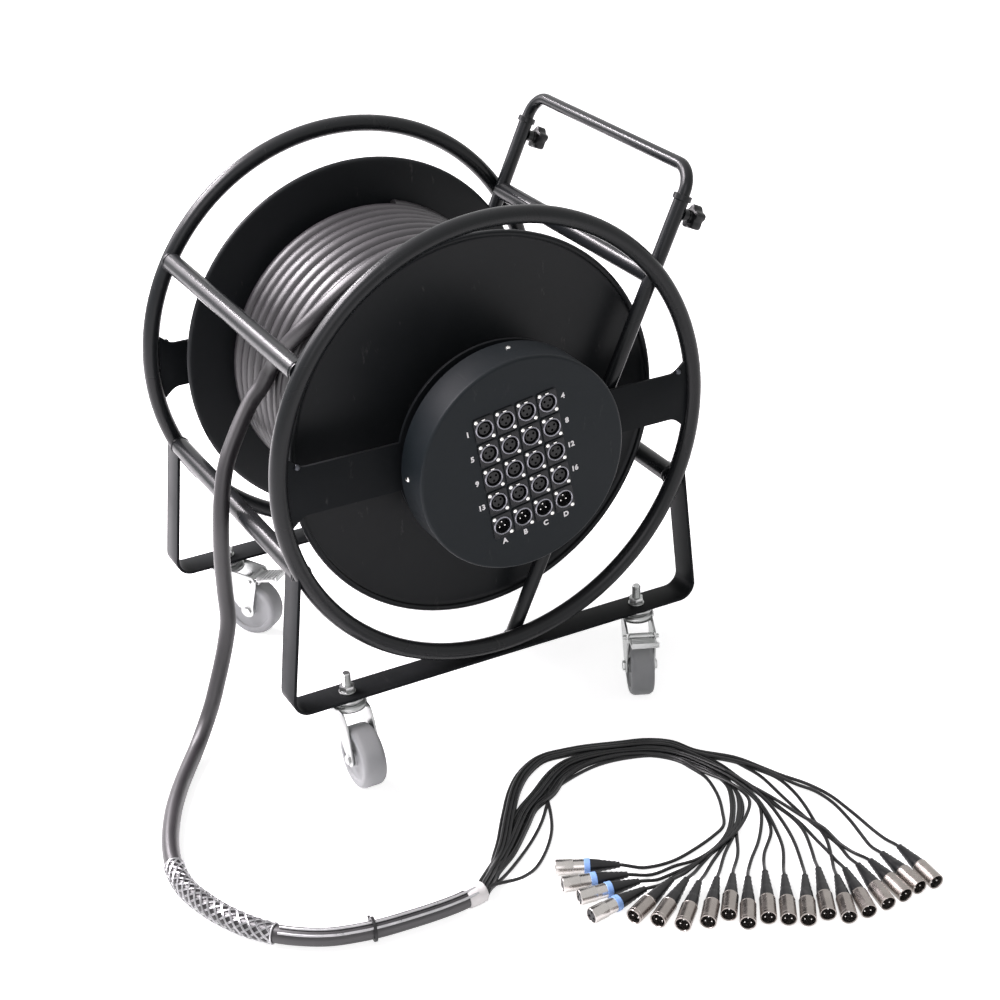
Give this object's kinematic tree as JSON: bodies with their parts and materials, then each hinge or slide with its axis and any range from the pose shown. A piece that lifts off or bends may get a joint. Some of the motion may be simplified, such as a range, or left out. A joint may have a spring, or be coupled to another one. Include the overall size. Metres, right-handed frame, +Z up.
{
  "type": "stage box snake",
  "caption": "Wheeled multicore cable drum in a hooped black frame, with a round socket box on its axle and a fan of in-line audio plugs.",
  "frame": {"origin": "on the ground, centred under the rigid pieces, without the free cable", "axes": "+X to the right as seen from the socket box, +Y back along the drum's axle from the socket box, +Z up"},
  "size_m": [0.8015, 0.9944, 0.699],
  "materials": {
    "frame_black": "semi-gloss black powder coat",
    "drum_black": "satin black powder coat",
    "box_black": "satin blue-black powder coat",
    "zinc": "zinc plated",
    "wheel_grey": "smooth grey non-marking rubber",
    "knob_black": "moulded black plastic",
    "cable_black": "dull dark grey cable jacket",
    "tail_black": "dull black cable jacket",
    "shaft_steel": "turned and oiled steel",
    "plug_nickel": "satin nickel plated shell",
    "grip_wire": "galvanised wire"
  },
  "bodies": {
    "frame": {"hoop_front": "frame_black", "hoop_rear": "frame_black", "cross_tube_upper_left": "frame_black", "cross_tube_upper_right": "frame_black", "cross_tube_lower_left": "frame_black", "cross_tube_lower_right": "frame_black", "crossbar_front": "frame_black", "crossbar_rear": "frame_black", "foot_front": "frame_black", "foot_rear": "frame_black", "sleeve_front": "frame_black", "sleeve_rear": "frame_black", "bearing_front": "shaft_steel", "bearing_rear": "shaft_steel", "caster_front_left_stem": "zinc", "caster_front_right_stem": "zinc", "caster_rear_left_stem": "zinc", "caster_rear_right_stem": "zinc", "main_cable": "cable_black", "cable_grip": "grip_wire", "tail_loom": "tail_black", "plug_01_female": "plug_nickel", "plug_02_female": "plug_nickel", "plug_03_female": "plug_nickel", "plug_04_female": "plug_nickel", "plug_05_male": "plug_nickel", "plug_06_male": "plug_nickel", "plug_07_male": "plug_nickel", "plug_08_male": "plug_nickel", "plug_09_male": "plug_nickel", "plug_10_male": "plug_nickel", "plug_11_male": "plug_nickel", "plug_12_male": "plug_nickel", "plug_13_male": "plug_nickel", "plug_14_male": "plug_nickel", "plug_15_male": "plug_nickel", "plug_16_male": "plug_nickel", "plug_17_male": "plug_nickel", "plug_18_male": "plug_nickel", "plug_19_male": "plug_nickel", "plug_20_male": "plug_nickel"},
    "handle": {"handle_bar": "frame_black"},
    "knob_front": {"knob_front": "knob_black"},
    "knob_rear": {"knob_rear": "knob_black"},
    "drum": {"flange_front": "drum_black", "flange_rear": "drum_black", "drum_shaft": "shaft_steel", "inner_cable_layers": "cable_black", "winding": "cable_black", "box_shell": "box_black"},
    "caster_front_left_fork": {"caster_front_left_fork": "zinc"},
    "caster_front_left_wheel": {"caster_front_left_wheel": "wheel_grey"},
    "caster_front_right_fork": {"caster_front_right_fork": "zinc"},
    "caster_front_right_wheel": {"caster_front_right_wheel": "wheel_grey"},
    "caster_front_right_pedal": {"caster_front_right_pedal": "zinc"},
    "caster_rear_left_fork": {"caster_rear_left_fork": "zinc"},
    "caster_rear_left_wheel": {"caster_rear_left_wheel": "wheel_grey"},
    "caster_rear_left_pedal": {"caster_rear_left_pedal": "zinc"},
    "caster_rear_right_fork": {"caster_rear_right_fork": "zinc"},
    "caster_rear_right_wheel": {"caster_rear_right_wheel": "wheel_grey"}
  },
  "joints": [
    {"name": "drum_spin", "type": "hinge", "parent": "frame", "child": "drum", "pos_m": [-0.00579, -0.18335, 0.4066], "axis": [0, 1, 0], "continuous": true},
    {"name": "handle_slide", "type": "slide", "parent": "frame", "child": "handle", "axis": [0.4156, 0, 0.9095], "range_m": [0, 0.3]},
    {"name": "knob_front_turn", "type": "hinge", "parent": "frame", "child": "knob_front", "pos_m": [0.26153, -0.16255, 0.64037], "axis": [0.9095, 0, -0.4156], "range_deg": [0, 720]},
    {"name": "knob_rear_turn", "type": "hinge", "parent": "frame", "child": "knob_rear", "pos_m": [0.26153, 0.22345, 0.64037], "axis": [0.9095, 0, -0.4156], "range_deg": [0, 720]},
    {"name": "caster_front_left_swivel", "type": "hinge", "parent": "frame", "child": "caster_front_left_fork", "pos_m": [-0.21579, -0.17135, 0.108], "axis": [0, 0, 1], "continuous": true},
    {"name": "caster_front_left_roll", "type": "hinge", "parent": "caster_front_left_fork", "child": "caster_front_left_wheel", "pos_m": [-0.21579, -0.20935, 0.04], "axis": [1, 0, 0], "continuous": true},
    {"name": "caster_front_right_swivel", "type": "hinge", "parent": "frame", "child": "caster_front_right_fork", "pos_m": [0.20421, -0.17135, 0.108], "axis": [0, 0, 1], "continuous": true},
    {"name": "caster_front_right_roll", "type": "hinge", "parent": "caster_front_right_fork", "child": "caster_front_right_wheel", "pos_m": [0.18875, -0.20607, 0.04], "axis": [0.9135, -0.4067, 0], "continuous": true},
    {"name": "caster_front_right_brake", "type": "hinge", "parent": "caster_front_right_fork", "child": "caster_front_right_pedal", "pos_m": [0.1855, -0.21337, 0.088], "axis": [0.9135, -0.4067, 0], "range_deg": [0, 15]},
    {"name": "caster_rear_left_swivel", "type": "hinge", "parent": "frame", "child": "caster_rear_left_fork", "pos_m": [-0.21579, 0.23225, 0.108], "axis": [0, 0, 1], "continuous": true},
    {"name": "caster_rear_left_roll", "type": "hinge", "parent": "caster_rear_left_fork", "child": "caster_rear_left_wheel", "pos_m": [-0.1924, 0.20231, 0.04], "axis": [0.788, 0.6157, 0], "continuous": true},
    {"name": "caster_rear_left_brake", "type": "hinge", "parent": "caster_rear_left_fork", "child": "caster_rear_left_pedal", "pos_m": [-0.18747, 0.196, 0.088], "axis": [0.788, 0.6157, 0], "range_deg": [0, 15]},
    {"name": "caster_rear_right_swivel", "type": "hinge", "parent": "frame", "child": "caster_rear_right_fork", "pos_m": [0.20421, 0.23225, 0.108], "axis": [0, 0, 1], "continuous": true},
    {"name": "caster_rear_right_roll", "type": "hinge", "parent": "caster_rear_right_fork", "child": "caster_rear_right_wheel", "pos_m": [0.2134, 0.19538, 0.04], "axis": [0.9703, 0.2419, 0], "continuous": true}
  ]
}
